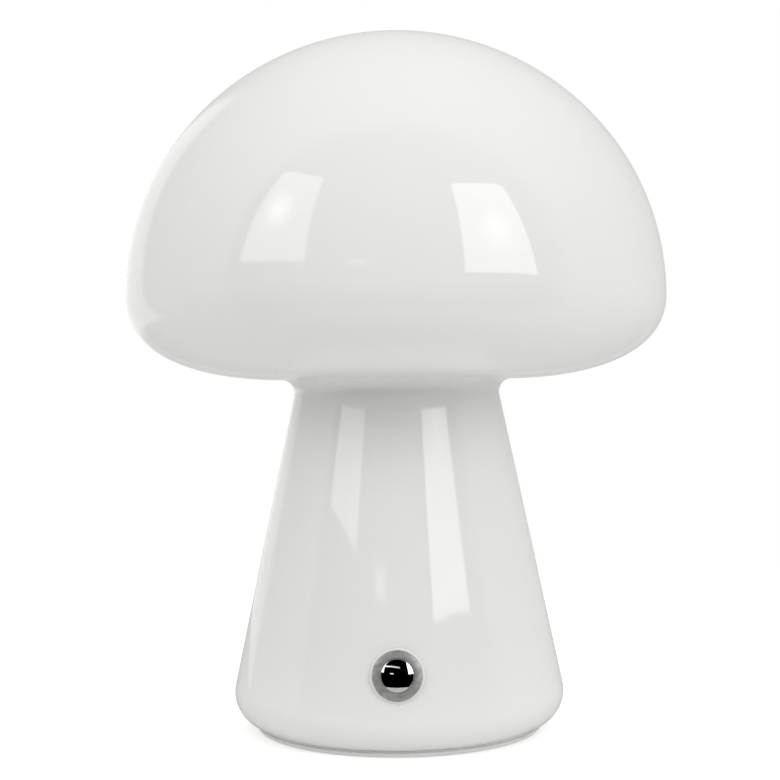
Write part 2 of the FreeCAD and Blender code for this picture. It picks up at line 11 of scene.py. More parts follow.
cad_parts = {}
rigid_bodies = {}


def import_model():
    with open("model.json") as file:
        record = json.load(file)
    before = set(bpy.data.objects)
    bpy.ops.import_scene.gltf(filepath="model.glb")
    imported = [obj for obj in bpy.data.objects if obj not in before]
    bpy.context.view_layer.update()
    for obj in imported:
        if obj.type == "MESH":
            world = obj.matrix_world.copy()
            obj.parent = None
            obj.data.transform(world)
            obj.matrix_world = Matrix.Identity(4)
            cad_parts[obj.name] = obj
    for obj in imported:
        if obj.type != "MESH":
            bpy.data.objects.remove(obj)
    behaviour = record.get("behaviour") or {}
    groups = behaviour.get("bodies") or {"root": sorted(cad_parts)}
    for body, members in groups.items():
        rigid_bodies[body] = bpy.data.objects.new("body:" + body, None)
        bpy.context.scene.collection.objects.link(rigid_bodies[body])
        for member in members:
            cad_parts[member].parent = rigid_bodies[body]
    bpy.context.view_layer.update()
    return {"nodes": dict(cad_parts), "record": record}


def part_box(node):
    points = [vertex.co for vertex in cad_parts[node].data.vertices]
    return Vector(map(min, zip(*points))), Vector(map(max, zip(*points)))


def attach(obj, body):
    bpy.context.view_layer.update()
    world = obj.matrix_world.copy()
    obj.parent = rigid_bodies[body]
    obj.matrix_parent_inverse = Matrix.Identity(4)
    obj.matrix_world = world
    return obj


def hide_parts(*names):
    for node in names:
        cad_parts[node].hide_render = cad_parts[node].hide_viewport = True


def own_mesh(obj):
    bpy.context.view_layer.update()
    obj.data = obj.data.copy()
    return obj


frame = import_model()
scene = bpy.context.scene
creaseAngle = math.radians(35)
roundPoints = 8  # points along a small rounded edge
print("frame loaded:", len(frame["nodes"]), "nodes")


# A mesh object from arrays of points and of faces with equal or mixed corner counts.
def meshObject(name, points, faces, smooth=True):
    mesh = bpy.data.meshes.new(name)
    mesh.from_pydata(points.tolist(), [], [list(f) for f in faces])
    mesh.polygons.foreach_set("use_smooth", [smooth] * len(mesh.polygons))
    piece = bpy.data.objects.new(name, mesh)
    scene.collection.objects.link(piece)
    return piece


# Puts a piece in the place of a CAD node, on that node's body and with the finish of its slot.
def standIn(piece, node, body, slot):
    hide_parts(node)
    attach(piece, body)
    dress(piece, finishes[slot])


def dress(piece, material):
    piece.data.materials.clear()
    piece.data.materials.append(material)


# Turns every face of a closed mesh outwards.
def faceOutwards(piece):
    work = bmesh.new()
    work.from_mesh(piece.data)
    bmesh.ops.recalc_face_normals(work, faces=work.faces)
    work.to_mesh(piece.data)
    work.free()


# Marks the sharper edges, so that turned shoulders stay crisp.
def creaseSharp(piece):
    piece.data.set_sharp_from_angle(angle=creaseAngle)


# A closed body through rings of equal point counts. Point j of ring i joins its neighbours in both
# directions; the last ring joins the first when closed, otherwise each end is a fan to its middle point.
def loftedRings(name, rings, closed=False):
    count, around = rings.shape[:2]
    points = rings.reshape(-1, 3)
    low = np.arange(count if closed else count - 1)[:, None] * around
    high = (low + around) % (count * around)
    here = np.arange(around)[None, :]
    there = (here + 1) % around
    quads = np.stack([low + here, low + there, high + there, high + here], axis=-1).reshape(-1, 4)
    faces = quads.tolist()
    if not closed:
        middles = rings[[0, -1]].mean(axis=1)
        points = np.vstack([points, middles])
        start = np.arange(around)
        after = (start + 1) % around
        top = np.stack([start, after, np.full(around, count * around)], axis=-1)
        last = (count - 1) * around
        base = np.stack([last + after, last + start, np.full(around, count * around + 1)], axis=-1)
        faces += top.tolist() + base.tolist()
    piece = meshObject(name, points, faces)
    faceOutwards(piece)
    return piece


# A profile of (radius, height) points carried round the axis: x = r cos a, y = r sin a, z = height.
def turnedRings(profile, around):
    angle = np.linspace(0, 2 * math.pi, around, endpoint=False)
    radius = profile[:, 0][:, None]
    height = np.repeat(profile[:, 1][:, None], around, axis=1)
    return np.stack([radius * np.cos(angle), radius * np.sin(angle), height], axis=-1)


# A cubic through four poles, at evenly spaced parameters.
def cubic(poles, count):
    t = np.linspace(0, 1, count)[:, None]
    a, b, c, d = np.array(poles)
    return (1 - t) ** 3 * a + 3 * (1 - t) ** 2 * t * b + 3 * (1 - t) * t**2 * c + t**3 * d


# Points on an arc between two angles, as (radius, height).
def arc(centre, radius, start, end, count):
    angle = np.linspace(start, end, count)[:, None]
    return np.array(centre) + radius * np.hstack([np.cos(angle), np.sin(angle)])


glass = {
    "wall": 0.003,
    "equator": 0.1436,
    "underside": 0.1165,
    "undersideSlope": 0.0067,
    "coneRadius": 0.058,
    "coneHalfAngle": math.radians(11.87),
    "neckFillet": 0.0043,
    "heelRadius": 0.0108,
    "mouthRadius": 0.041,
    "groundEdge": 0.0004,
    "fullness": {"crown": 0.54, "shoulder": 0.565, "rim": 0.63, "underside": 0.63},
    "holeRadius": 0.007,
    "holeAround": 64,
    "around": 256,
    "points": {"crown": 90, "under": 50, "neck": 14, "cone": 40, "heel": 24},
}
fittingHeight = 0.0262
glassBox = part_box("glass_body")
capRadius = glassBox[1][0]
lampTop = glassBox[1][2]
rimHeight = glassBox[0][2]
tilt = glass["coneHalfAngle"]


# The outline from the crown to the mouth, moved inwards by inset: two cubics from the crown over the
# equator to the underside, an arc at the neck, the straight cone, and an arc at the heel.
def glassOutline(inset):
    fullness = glass["fullness"]
    points = glass["points"]
    radius = capRadius - inset
    top = lampTop - inset
    outward = np.array([1, glass["undersideSlope"]]) / math.hypot(1, glass["undersideSlope"])
    down = np.array([math.sin(tilt), -math.cos(tilt)])
    corner = np.array([glass["coneRadius"] - glass["underside"] * math.tan(tilt), glass["underside"]])
    bisector = (outward + down) / np.linalg.norm(outward + down)
    half = math.acos(float(outward @ down)) / 2
    centre = corner + bisector * glass["neckFillet"] / math.sin(half)
    fillet = glass["neckFillet"] + inset
    neckStart = centre + fillet * np.array([-outward[1], outward[0]])
    startAngle = math.atan2(*(neckStart - centre)[::-1])
    endAngle = math.pi + tilt
    drop = glass["equator"] - neckStart[1]
    shoulder = glass["equator"] + fullness["shoulder"] * (top - glass["equator"])
    crownPoles = [
        (0, top),
        (fullness["crown"] * radius, top),
        (radius, shoulder),
        (radius, glass["equator"]),
    ]
    underPoles = [
        (radius, glass["equator"]),
        (radius, glass["equator"] - fullness["rim"] * drop),
        tuple(neckStart + outward * fullness["underside"] * (radius - neckStart[0])),
        tuple(neckStart),
    ]
    crown = cubic(crownPoles, points["crown"])
    under = cubic(underPoles, points["under"])[1:]
    neck = arc(centre, fillet, startAngle, endAngle, points["neck"])[1:]
    heelRadius = glass["heelRadius"] - inset
    rimCorner = glass["coneRadius"] - rimHeight * math.tan(tilt)
    heelInset = glass["heelRadius"] * math.tan((math.pi / 2 + tilt) / 2)
    heelCentre = (rimCorner - heelInset, rimHeight + glass["heelRadius"])
    heel = arc(heelCentre, heelRadius, tilt, -math.pi / 2, points["heel"])
    along = np.linspace(0, 1, points["cone"])[1:-1, None]
    cone = neck[-1] + along * (heel[0] - neck[-1])
    return np.vstack([crown, under, neck, cone, heel])


# A place on the cone: local Z points straight out of the glass, local Y up the cone.
def fittingPlace(node):
    low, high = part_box(node)
    side = 1 if (low[1] + high[1]) > 0 else -1
    radius = glass["coneRadius"] - fittingHeight * math.tan(tilt)
    outward = Vector((0, side * math.cos(tilt), math.sin(tilt)))
    right = Vector((-side, 0, 0))
    up = outward.cross(right)
    turn = Matrix((right, up, outward)).transposed().to_4x4()
    return Matrix.Translation((0, side * radius, fittingHeight)) @ turn


def placedRings(rings, place):
    matrix = np.array(place)
    return rings @ matrix[:3, :3].T + matrix[:3, 3]


# Cuts the bodies in cutters out of a piece, and removes them.
def cutWith(piece, cutters):
    for cutter in cutters:
        cut = piece.modifiers.new(cutter.name, "BOOLEAN")
        cut.object = cutter
        cut.solver = "EXACT"
    bpy.context.view_layer.update()
    graph = bpy.context.evaluated_depsgraph_get()
    mesh = bpy.data.meshes.new_from_object(piece.evaluated_get(graph))
    piece.modifiers.clear()
    piece.data = mesh
    for cutter in cutters:
        bpy.data.objects.remove(cutter)


# One blown shell: outside, ground mouth and inside are a single profile, and two holes are drilled.
def makeGlass():
    outer = glassOutline(0)
    inner = glassOutline(glass["wall"])
    edge = glass["groundEdge"]
    lipTop = rimHeight + glass["wall"]
    mouth = np.array([
        (glass["mouthRadius"] + edge, rimHeight),
        (glass["mouthRadius"], rimHeight + edge),
        (glass["mouthRadius"], lipTop - edge),
        (glass["mouthRadius"] + edge, lipTop),
    ])
    profile = np.vstack([outer[1:], mouth, inner[1:][::-2]])  # the unseen inside takes every other point
    rings = turnedRings(profile, glass["around"])
    piece = loftedRings("opalGlass", rings)
    piece.data.vertices[-2].co.z = lampTop  # the two poles sit on the crown, outside and inside
    piece.data.vertices[-1].co.z = lampTop - glass["wall"]
    drill = np.array([(glass["holeRadius"], -2 * glass["wall"]), (glass["holeRadius"], glass["wall"])])
    cutters = []
    for node in ("button_bezel", "inlet_bezel"):
        rings = placedRings(turnedRings(drill, glass["holeAround"]), fittingPlace(node))
        cutters.append(loftedRings("drill", rings))
    cutWith(piece, cutters)
    piece.data.polygons.foreach_set("use_smooth", [True] * len(piece.data.polygons))
    standIn(piece, "glass_body", "lamp", "opal_glass")
    return piece


button = {
    "radius": 0.00505,
    "rise": 0.0009,
    "edgeRound": 0.00025,
    "lipRadius": 0.0057,
    "lipDepth": 0.0033,
    "lipThickness": 0.0008,
    "stemRadius": 0.002,
    "face": 0.0017,
    "stemEnd": -0.005406,
    "domePoints": 40,
}
bezel = {
    "face": 0.0015,
    "back": 0.0005,
    "radius": 0.0077,
    "outerRound": 0.0003,
    "innerRound": 0.00025,
    "crown": 0.00038,
    "fall": 0.3,
    "facePoints": 9,
    "borePoints": 6,
    "bore": 0.00515,
    "chamber": 0.0059,
    "shoulder": -0.0018,
    "sleeve": 0.0066,
    "sleeveEnd": -0.009006,
    "around": 128,
}


# A shallow ball-shaped cap with a rounded edge, on a plain cylinder with a lip and a stem.
def makeButton():
    size = button
    ball = (size["radius"] ** 2 + size["rise"] ** 2) / (2 * size["rise"])
    slope = math.asin((size["radius"] - size["edgeRound"]) / ball)
    centre = (0, size["face"] + size["rise"] - ball)
    dome = arc(centre, ball, math.pi / 2, math.pi / 2 - slope, size["domePoints"])
    edgeCentre = (size["radius"] - size["edgeRound"], dome[-1][1] - size["edgeRound"])
    edge = arc(edgeCentre, size["edgeRound"], math.pi / 2 - slope, 0, roundPoints)[1:]
    shoulder = bezel["face"] - size["lipDepth"]
    lipEnd = shoulder - size["lipThickness"]
    sides = np.array([
        (size["radius"], shoulder),
        (size["lipRadius"], shoulder),
        (size["lipRadius"], lipEnd),
        (size["stemRadius"], lipEnd),
        (size["stemRadius"], size["stemEnd"]),
    ])
    rings = turnedRings(np.vstack([dome[1:], edge, sides]), bezel["around"])
    piece = loftedRings("chromeButton", placedRings(rings, fittingPlace("button_cap")))
    creaseSharp(piece)
    standIn(piece, "button_cap", "button", "chrome")


# The bezel's face from the bore to its rounded outer edge: it falls by crown as the square of the way
# across, and the rounding starts at the angle fall, in radians.
def bezelFace(start):
    size = bezel
    across = np.linspace(0, 1, size["facePoints"])[:, None]
    begin, end = start + size["innerRound"], size["radius"] - size["outerRound"]
    face = np.hstack([begin + across * (end - begin), size["face"] - size["crown"] * across**2])
    centre = (end, size["face"] - size["crown"] - size["outerRound"])
    outer = arc(centre, size["outerRound"], math.pi / 2 - size["fall"], 0, roundPoints)
    return np.vstack([face[:-1], outer])


# The bezel's closed profile: rounded bore edge, face, flange back, sleeve and stepped bore.
def bezelProfile():
    size = bezel
    centre = (size["bore"] + size["innerRound"], size["face"] - size["innerRound"])
    inner = arc(centre, size["innerRound"], math.pi, math.pi / 2, size["borePoints"])
    rest = np.array([
        (size["radius"], size["back"]),
        (size["sleeve"], size["back"]),
        (size["sleeve"], size["sleeveEnd"]),
        (size["chamber"], size["sleeveEnd"]),
        (size["chamber"], size["shoulder"]),
        (size["bore"], size["shoulder"]),
    ])
    return np.vstack([inner[:-1], bezelFace(size["bore"]), rest])


def makeBezel():
    rings = turnedRings(bezelProfile(), bezel["around"])
    piece = loftedRings("buttonRing", placedRings(rings, fittingPlace("button_bezel")), closed=True)
    creaseSharp(piece)
    standIn(piece, "button_bezel", "lamp", "satin_metal")


spring = {"radius": 0.0051, "wire": 0.00035, "turns": 3.5, "travel": 0.001, "steps": 112, "around": 12}


# A coil between the sleeve's end and the button's lip. Its centre
# # line is (r cos a, r sin a, low + rise * a), and each ring of points lies square to that line.
def makeSpring():
    size = spring
    low = bezel["sleeveEnd"]
    length = bezel["face"] - button["lipDepth"] - button["lipThickness"] - low
    angle = np.linspace(0, 2 * math.pi * size["turns"], size["steps"])
    rise = (length - 2 * size["wire"]) / angle[-1]
    outward = np.stack([np.cos(angle), np.sin(angle), 0 * angle], axis=-1)
    middle = size["radius"] * outward + np.outer(low + size["wire"] + rise * angle, [0, 0, 1])
    along = np.cross([0, 0, 1], outward) * size["radius"] + [0, 0, rise]
    across = np.cross(along / np.linalg.norm(along[0]), outward)
    turn = np.linspace(0, 2 * math.pi, size["around"], endpoint=False)[None, :, None]
    section = np.cos(turn) * outward[:, None] + np.sin(turn) * across[:, None]
    rings = middle[:, None] + size["wire"] * section
    place = fittingPlace("button_spring")
    piece = loftedRings("buttonSpring", placedRings(rings, place))
    creaseSharp(piece)
    standIn(piece, "button_spring", "lamp", "spring_steel")
    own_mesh(piece)


gasket = {"radius": 0.0083, "bore": 0.00675, "round": 0.00045, "around": 96}


# Depth of the glass under a fitting, at points x and y of its own frame: across the cone the skin falls
# away as a circle, whose radius shrinks as y climbs the cone.
def skinDepth(x, y):
    seat = glass["coneRadius"] - fittingHeight * math.tan(tilt)
    bend = (seat - y * math.sin(tilt)) / math.cos(tilt)
    return np.sqrt(bend**2 - x**2) - bend


# A soft ring between the bezel and the glass: a flat top, a rounded outer edge, and an underside that
# follows the glass.
def makeGasket(name, node):
    size = gasket
    centre = (size["radius"] - size["round"], bezel["back"] - size["round"])
    edge = arc(centre, size["round"], math.pi / 2, 0, roundPoints)
    rings = turnedRings(np.vstack([[size["bore"], bezel["back"]], edge]), size["around"])
    floor = turnedRings(np.array([(size["radius"], 0.0), (size["bore"], 0.0)]), size["around"])
    floor[..., 2] = skinDepth(floor[..., 0], floor[..., 1])
    rings = np.vstack([rings, floor])
    piece = loftedRings(name, placedRings(rings, fittingPlace(node)), closed=True)
    creaseSharp(piece)
    standIn(piece, node, "lamp", "seal_silicone")


rimBead = {
    "bore": 0.0414,
    "flat": 0.0451,
    "radius": 0.0469,
    "bottom": 0.0014,
    "slack": 0.00005,
    "round": 0.0001,
    "points": 10,
    "lipPoints": 4,
}


# The bead under the glass: flat inside, and further out its top follows the heel's arc just below it.
def makeRimBead():
    size = rimBead
    heel = glass["heelRadius"]
    under = glassOutline(0)[-1][0]
    level = rimHeight - size["slack"]
    radius = np.linspace(size["flat"], size["radius"], size["points"])
    lift = heel - np.sqrt(heel**2 - np.maximum(radius - under, 0) ** 2)
    top = np.stack([radius, level + lift], axis=-1)
    centre = (size["radius"] - size["round"], size["bottom"] + size["round"])
    lip = arc(centre, size["round"], 0, -math.pi / 2, size["lipPoints"])
    profile = np.vstack([[size["bore"], level], top, lip, [size["bore"], size["bottom"]]])
    piece = loftedRings("rimBead", turnedRings(profile, glass["around"]), closed=True)
    creaseSharp(piece)
    standIn(piece, "rim_gasket", "lamp", "seal_silicone")


inlet = {"slotWidth": 0.00924, "slotHeight": 0.00356, "slotRound": 0.0002}


# A slot with round ends: each point of a circle is pushed sideways by the slot's straight half length.
def slotRing(width, height, level, around):
    angle = np.linspace(0, 2 * math.pi, around, endpoint=False)
    radius = height / 2
    side = width / 2 - radius
    x = radius * np.cos(angle) + side * np.sign(np.cos(angle))
    return np.stack([x, radius * np.sin(angle), np.full(around, level)], axis=-1)


# The same ring as the button's, with a slot through it instead of the stepped bore.
def makeInletRing():
    size = bezel
    around = size["around"]
    width, height, cut = inlet["slotWidth"], inlet["slotHeight"], inlet["slotRound"]
    slot = [
        slotRing(width, height, size["sleeveEnd"], around),
        slotRing(width, height, size["face"] - cut, around),
        slotRing(width + 2 * cut, height + 2 * cut, size["face"], around),
    ]
    outer = bezelFace(size["bore"])
    back = np.array([
        (size["radius"], size["back"]),
        (size["sleeve"], size["back"]),
        (size["sleeve"], size["sleeveEnd"]),
    ])
    rings = np.vstack([np.array(slot), turnedRings(np.vstack([outer, back]), around)])
    piece = loftedRings("inletRing", placedRings(rings, fittingPlace("inlet_bezel")), closed=True)
    creaseSharp(piece)
    standIn(piece, "inlet_bezel", "lamp", "satin_metal")


def addNode(tree, kind, **settings):
    node = tree.nodes.new(kind)
    for key, value in settings.items():
        setattr(node, key, value)
    return node


# A fine surface: a noise on the given vector, spread about a middle value, and the same noise as a height.
def buildSurfaceNoise():
    group = bpy.data.node_groups.new("surfaceNoise", "ShaderNodeTree")
    group.interface.new_socket(name="Vector", in_out="INPUT", socket_type="NodeSocketVector")
    for name in ("Scale", "Detail", "Middle", "Spread"):
        group.interface.new_socket(name=name, in_out="INPUT", socket_type="NodeSocketFloat")
    for name in ("Value", "Height"):
        group.interface.new_socket(name=name, in_out="OUTPUT", socket_type="NodeSocketFloat")
    start = addNode(group, "NodeGroupInput")
    end = addNode(group, "NodeGroupOutput")
    noise = addNode(group, "ShaderNodeTexNoise")
    centred = addNode(group, "ShaderNodeMath", operation="SUBTRACT")
    centred.inputs[1].default_value = 0.5
    spread = addNode(group, "ShaderNodeMath", operation="MULTIPLY_ADD")
    link = group.links.new
    for name in ("Vector", "Scale", "Detail"):
        link(start.outputs[name], noise.inputs[name])
    link(noise.outputs["Fac"], centred.inputs[0])
    link(centred.outputs[0], spread.inputs[0])
    link(start.outputs["Spread"], spread.inputs[1])
    link(start.outputs["Middle"], spread.inputs[2])
    link(spread.outputs[0], end.inputs["Value"])
    link(noise.outputs["Fac"], end.inputs["Height"])
    return group


surfaceNoise = buildSurfaceNoise()


def addNoise(tree, coordinates, scale, middle, spread, detail):
    node = addNode(tree, "ShaderNodeGroup", node_tree=surfaceNoise)
    tree.links.new(coordinates, node.inputs["Vector"])
    for name, value in (("Scale", scale), ("Detail", detail), ("Middle", middle), ("Spread", spread)):
        node.inputs[name].default_value = value
    return node


# A finish: colour with a slight drift, roughness that wanders, a fine bump, and plain shader values.
def makeFinish(name, look):
    material = bpy.data.materials.new(name)
    material.use_nodes = True
    tree = material.node_tree
    shader = tree.nodes["Principled BSDF"]
    place = addNode(tree, "ShaderNodeTexCoord").outputs["Object"]
    drift = addNoise(tree, place, look["driftScale"], 0.5, look["driftSpread"], 2.0)
    mix = addNode(tree, "ShaderNodeMix", data_type="RGBA")
    mix.inputs["A"].default_value = (*look["colour"], 1)
    mix.inputs["B"].default_value = (*look["otherColour"], 1)
    tree.links.new(drift.outputs["Value"], mix.inputs["Factor"])
    tree.links.new(mix.outputs["Result"], shader.inputs["Base Color"])
    rough = addNoise(tree, place, look["grainScale"], look["roughness"], look["roughSpread"], 4.0)
    tree.links.new(rough.outputs["Value"], shader.inputs["Roughness"])
    bump = addNode(tree, "ShaderNodeBump")
    bump.inputs["Strength"].default_value = look.get("bumpStrength", 0.2)
    bump.inputs["Distance"].default_value = look["bumpDepth"]
    tree.links.new(rough.outputs["Height"], bump.inputs["Height"])
    tree.links.new(bump.outputs["Normal"], shader.inputs["Normal"])
    shader.inputs["Metallic"].default_value = look.get("metallic", 0.0)
    shader.inputs["IOR"].default_value = 1.5
    return material


# Blown opal glass: milky body, fire-polished skin with a faint waviness, light that spreads inside.
def opalGlassFinish():
    look = {
        "colour": (0.83, 0.83, 0.80),
        "otherColour": (0.84, 0.84, 0.82),
        "driftScale": 9.0,
        "driftSpread": 1.2,
        "roughness": 0.04,
        "roughSpread": 0.02,
        "grainScale": 14.0,
        "bumpDepth": 0.0012,
        "bumpStrength": 0.04,
    }
    material = makeFinish("opalGlass", look)
    shader = material.node_tree.nodes["Principled BSDF"]
    shader.inputs["Subsurface Weight"].default_value = 0.2
    shader.inputs["Subsurface Radius"].default_value = (1.0, 0.98, 0.94)
    shader.inputs["Subsurface Scale"].default_value = 0.004
    return material


def chromeFinish():
    look = {
        "colour": (0.80, 0.80, 0.81),
        "otherColour": (0.76, 0.76, 0.77),
        "driftScale": 300.0,
        "driftSpread": 1.0,
        "roughness": 0.045,
        "roughSpread": 0.02,
        "grainScale": 900.0,
        "bumpDepth": 0.000004,
        "metallic": 1.0,
    }
    return makeFinish("chromePlate", look)


# Bead-blasted, lacquered metal: mid grey, no direction to its grain.
def satinMetalFinish():
    look = {
        "colour": (0.33, 0.33, 0.325),
        "otherColour": (0.52, 0.52, 0.51),
        "driftScale": 700.0,
        "driftSpread": 2.5,
        "roughness": 0.46,
        "roughSpread": 0.15,
        "grainScale": 5200.0,
        "bumpDepth": 0.00003,
        "metallic": 0.6,
    }
    return makeFinish("satinMetal", look)


# Moulded plastics, rubbers, boards and plain metals share this table of looks: two colours, roughness,
# scale of the grain, depth of the bump and how metallic it is.
otherFinishes = {
    "base_plastic": ((0.80, 0.80, 0.79), (0.84, 0.84, 0.83), 0.55, 900.0, 0.00002, 0.0),
    "pad_rubber": ((0.42, 0.42, 0.41), (0.46, 0.46, 0.45), 0.85, 1400.0, 0.00004, 0.0),
    "seal_silicone": ((0.83, 0.84, 0.82), (0.87, 0.87, 0.86), 0.35, 800.0, 0.00001, 0.0),
    "gasket_rubber": ((0.10, 0.10, 0.10), (0.14, 0.14, 0.14), 0.80, 1200.0, 0.00004, 0.0),
    "screw_steel": ((0.50, 0.50, 0.51), (0.58, 0.58, 0.59), 0.32, 2500.0, 0.000008, 1.0),
    "spring_steel": ((0.42, 0.42, 0.44), (0.50, 0.50, 0.52), 0.30, 2000.0, 0.000006, 1.0),
    "plated_brass": ((0.62, 0.58, 0.48), (0.68, 0.65, 0.58), 0.28, 2000.0, 0.000006, 1.0),
    "housing_plastic": ((0.74, 0.74, 0.72), (0.78, 0.78, 0.76), 0.50, 900.0, 0.00002, 0.0),
    "black_plastic": ((0.020, 0.020, 0.021), (0.032, 0.032, 0.033), 0.48, 1200.0, 0.00002, 0.0),
    "cell_can": ((0.06, 0.13, 0.26), (0.08, 0.16, 0.30), 0.35, 600.0, 0.00002, 0.0),
    "circuit_board": ((0.015, 0.085, 0.035), (0.020, 0.11, 0.05), 0.42, 1500.0, 0.00002, 0.0),
    "lead_insulation": ((0.45, 0.03, 0.02), (0.52, 0.04, 0.03), 0.55, 1500.0, 0.00001, 0.0),
    "bright_aluminium": ((0.66, 0.66, 0.67), (0.72, 0.72, 0.73), 0.34, 1600.0, 0.00001, 1.0),
    "led_package": ((0.78, 0.62, 0.16), (0.82, 0.68, 0.22), 0.45, 1800.0, 0.00001, 0.0),
    "diffuser_plastic": ((0.80, 0.80, 0.78), (0.83, 0.83, 0.81), 0.45, 500.0, 0.00001, 0.0),
}


def otherFinish(slot):
    colour, otherColour, roughness, grainScale, bumpDepth, metallic = otherFinishes[slot]
    look = {
        "colour": colour,
        "otherColour": otherColour,
        "driftScale": grainScale / 20,
        "driftSpread": 1.2,
        "roughness": roughness,
        "roughSpread": roughness * 0.3,
        "grainScale": grainScale,
        "bumpDepth": bumpDepth,
        "metallic": metallic,
    }
    return makeFinish(slot, look)


finishes = {slot: otherFinish(slot) for slot in otherFinishes}
finishes["opal_glass"] = opalGlassFinish()
finishes["chrome"] = chromeFinish()
finishes["satin_metal"] = satinMetalFinish()
slotOf = {part["node"]: part["material_slot"] for part in frame["record"]["subparts"]}
for node, piece in frame["nodes"].items():
    for place in piece.material_slots:
        place.material = finishes[slotOf[node]]
print("materials made:", len(finishes))

glassPiece = makeGlass()
print("glass made:", len(glassPiece.data.polygons), "faces")
makeButton()
makeBezel()
makeSpring()
makeInletRing()
makeGasket("buttonSeal", "button_gasket")
makeGasket("inletSeal", "inlet_gasket")
makeRimBead()
print("button, spring, rings, inlet and seals made")


camera = {
    "lens": 69.2,
    "sensor": 36,
    "nearest": 0.01,
    "distance": 0.507,
    "height": 0.1129,
    "sideways": -0.00227,
    "roll": -0.0085,
    "turn": math.radians(0.86),
}
# The camera and the lights are turned this far round the lamp.
studioTurn = Matrix.Rotation(camera["turn"], 4, "Z")


def makeCamera():
    data = bpy.data.cameras.new("camera")
    data.lens = camera["lens"]
    data.sensor_width = camera["sensor"]
    data.clip_start = camera["nearest"]
    eye = bpy.data.objects.new("camera", data)
    place = Matrix.Translation((camera["sideways"], -camera["distance"], camera["height"]))
    lean = Matrix.Rotation(math.pi / 2, 4, "X") @ Matrix.Rotation(camera["roll"], 4, "Z")
    eye.matrix_world = studioTurn @ place @ lean
    scene.collection.objects.link(eye)
    scene.camera = eye


def addRamp(tree, value, start, end):
    ramp = addNode(tree, "ShaderNodeMapRange", interpolation_type="SMOOTHSTEP")
    ramp.inputs["From Min"].default_value = start
    ramp.inputs["From Max"].default_value = end
    tree.links.new(value, ramp.inputs["Value"])
    return ramp.outputs["Result"]


def addProduct(tree, values):
    result = values[0]
    for value in values[1:]:
        both = addNode(tree, "ShaderNodeMath", operation="MULTIPLY")
        tree.links.new(result, both.inputs[0])
        tree.links.new(value, both.inputs[1])
        result = both.outputs[0]
    return result


# Mixes from one level to another; each is a number or a socket.
def addBlend(tree, mask, first, second):
    mix = addNode(tree, "ShaderNodeMix", data_type="FLOAT")
    tree.links.new(mask, mix.inputs["Factor"])
    for socket, level in ((mix.inputs["A"], first), (mix.inputs["B"], second)):
        if isinstance(level, float):
            socket.default_value = level
        else:
            tree.links.new(level, socket)
    return mix.outputs["Result"]


# Two masks: rays that reach the camera itself, and rays seen in gloss or through something clear.
def addRayKinds(tree):
    path = addNode(tree, "ShaderNodeLightPath")
    either = addNode(tree, "ShaderNodeMath", operation="MAXIMUM")
    tree.links.new(path.outputs["Is Glossy Ray"], either.inputs[0])
    tree.links.new(path.outputs["Is Transmission Ray"], either.inputs[1])
    return path.outputs["Is Camera Ray"], either.outputs[0]


# Upright softboxes and bars: middle, the way the wide side faces in degrees from the front, width and
# height, brightness at the rim, brightness added in the middle and that middle's place, and how far the
# left and right edges lean in at the top, as shares of the width. The high bar lights one piece only.
softboxes = {
    "leftBox": {"place": (-0.690, -0.594, 0.688), "facing": -50.0, "size": (0.47, 0.726),
                "rim": 2.3, "middle": 2.9, "spot": (0.45, 0.48), "lean": (0.20, 0.0)},
    "rightBox": {"place": (0.558, -0.628, 0.545), "facing": 27.0, "size": (0.474, 0.62),
                 "rim": 3.4, "middle": 1.8, "spot": (0.47, 0.41), "lean": (0.0, 0.20)},
    "barLamp": {"place": (-0.263, -1.017, 0.344), "facing": -14.5, "size": (0.16, 0.03),
                "rim": 1.8, "middle": 0.0, "spot": (0.5, 0.5), "lean": (0.0, 0.0)},
    "highBar": {"place": (-0.316, -0.918, 0.656), "facing": -19.0, "size": (0.90, 0.08),
                "rim": 0.9, "middle": 2.0, "spot": (0.3, 0.5), "lean": (0.0, 0.0), "only": "chromeButton"},
}
boxShape = {"edgeFade": 0.03, "spotReach": 0.42, "spotPower": 2.5}


# Brightness over a softbox: the rim's level, plus a round spot that fades with distance from its centre,
# raised to a power, all cut off by the two leaning edges.
def shapeSoftbox(data, box):
    data.use_nodes = True
    tree = data.node_tree
    link = tree.links.new
    flat = addNode(tree, "ShaderNodeNewGeometry").outputs["Parametric"]
    away = addNode(tree, "ShaderNodeVectorMath", operation="DISTANCE")
    away.inputs[1].default_value = (*box["spot"], 0)
    link(flat, away.inputs[0])
    fade = addNode(tree, "ShaderNodeMapRange", interpolation_type="SMOOTHERSTEP")
    fade.inputs["From Min"].default_value = boxShape["spotReach"]
    fade.inputs["From Max"].default_value = 0.0
    link(away.outputs["Value"], fade.inputs["Value"])
    peak = addNode(tree, "ShaderNodeMath", operation="POWER")
    peak.inputs[1].default_value = boxShape["spotPower"]
    link(fade.outputs["Result"], peak.inputs[0])
    level = addNode(tree, "ShaderNodeMath", operation="MULTIPLY_ADD")
    level.inputs[1].default_value = box["middle"]
    level.inputs[2].default_value = box["rim"]
    link(peak.outputs[0], level.inputs[0])
    edges = []
    for normal, start in (((1, -box["lean"][0], 0), 0.0), ((-1, -box["lean"][1], 0), -1.0)):
        edge = addNode(tree, "ShaderNodeVectorMath", operation="DOT_PRODUCT")
        edge.inputs[1].default_value = normal
        link(flat, edge.inputs[0])
        edges.append(addRamp(tree, edge.outputs["Value"], start, start + boxShape["edgeFade"]))
    link(addProduct(tree, [level.outputs[0], *edges]), tree.nodes["Emission"].inputs["Strength"])


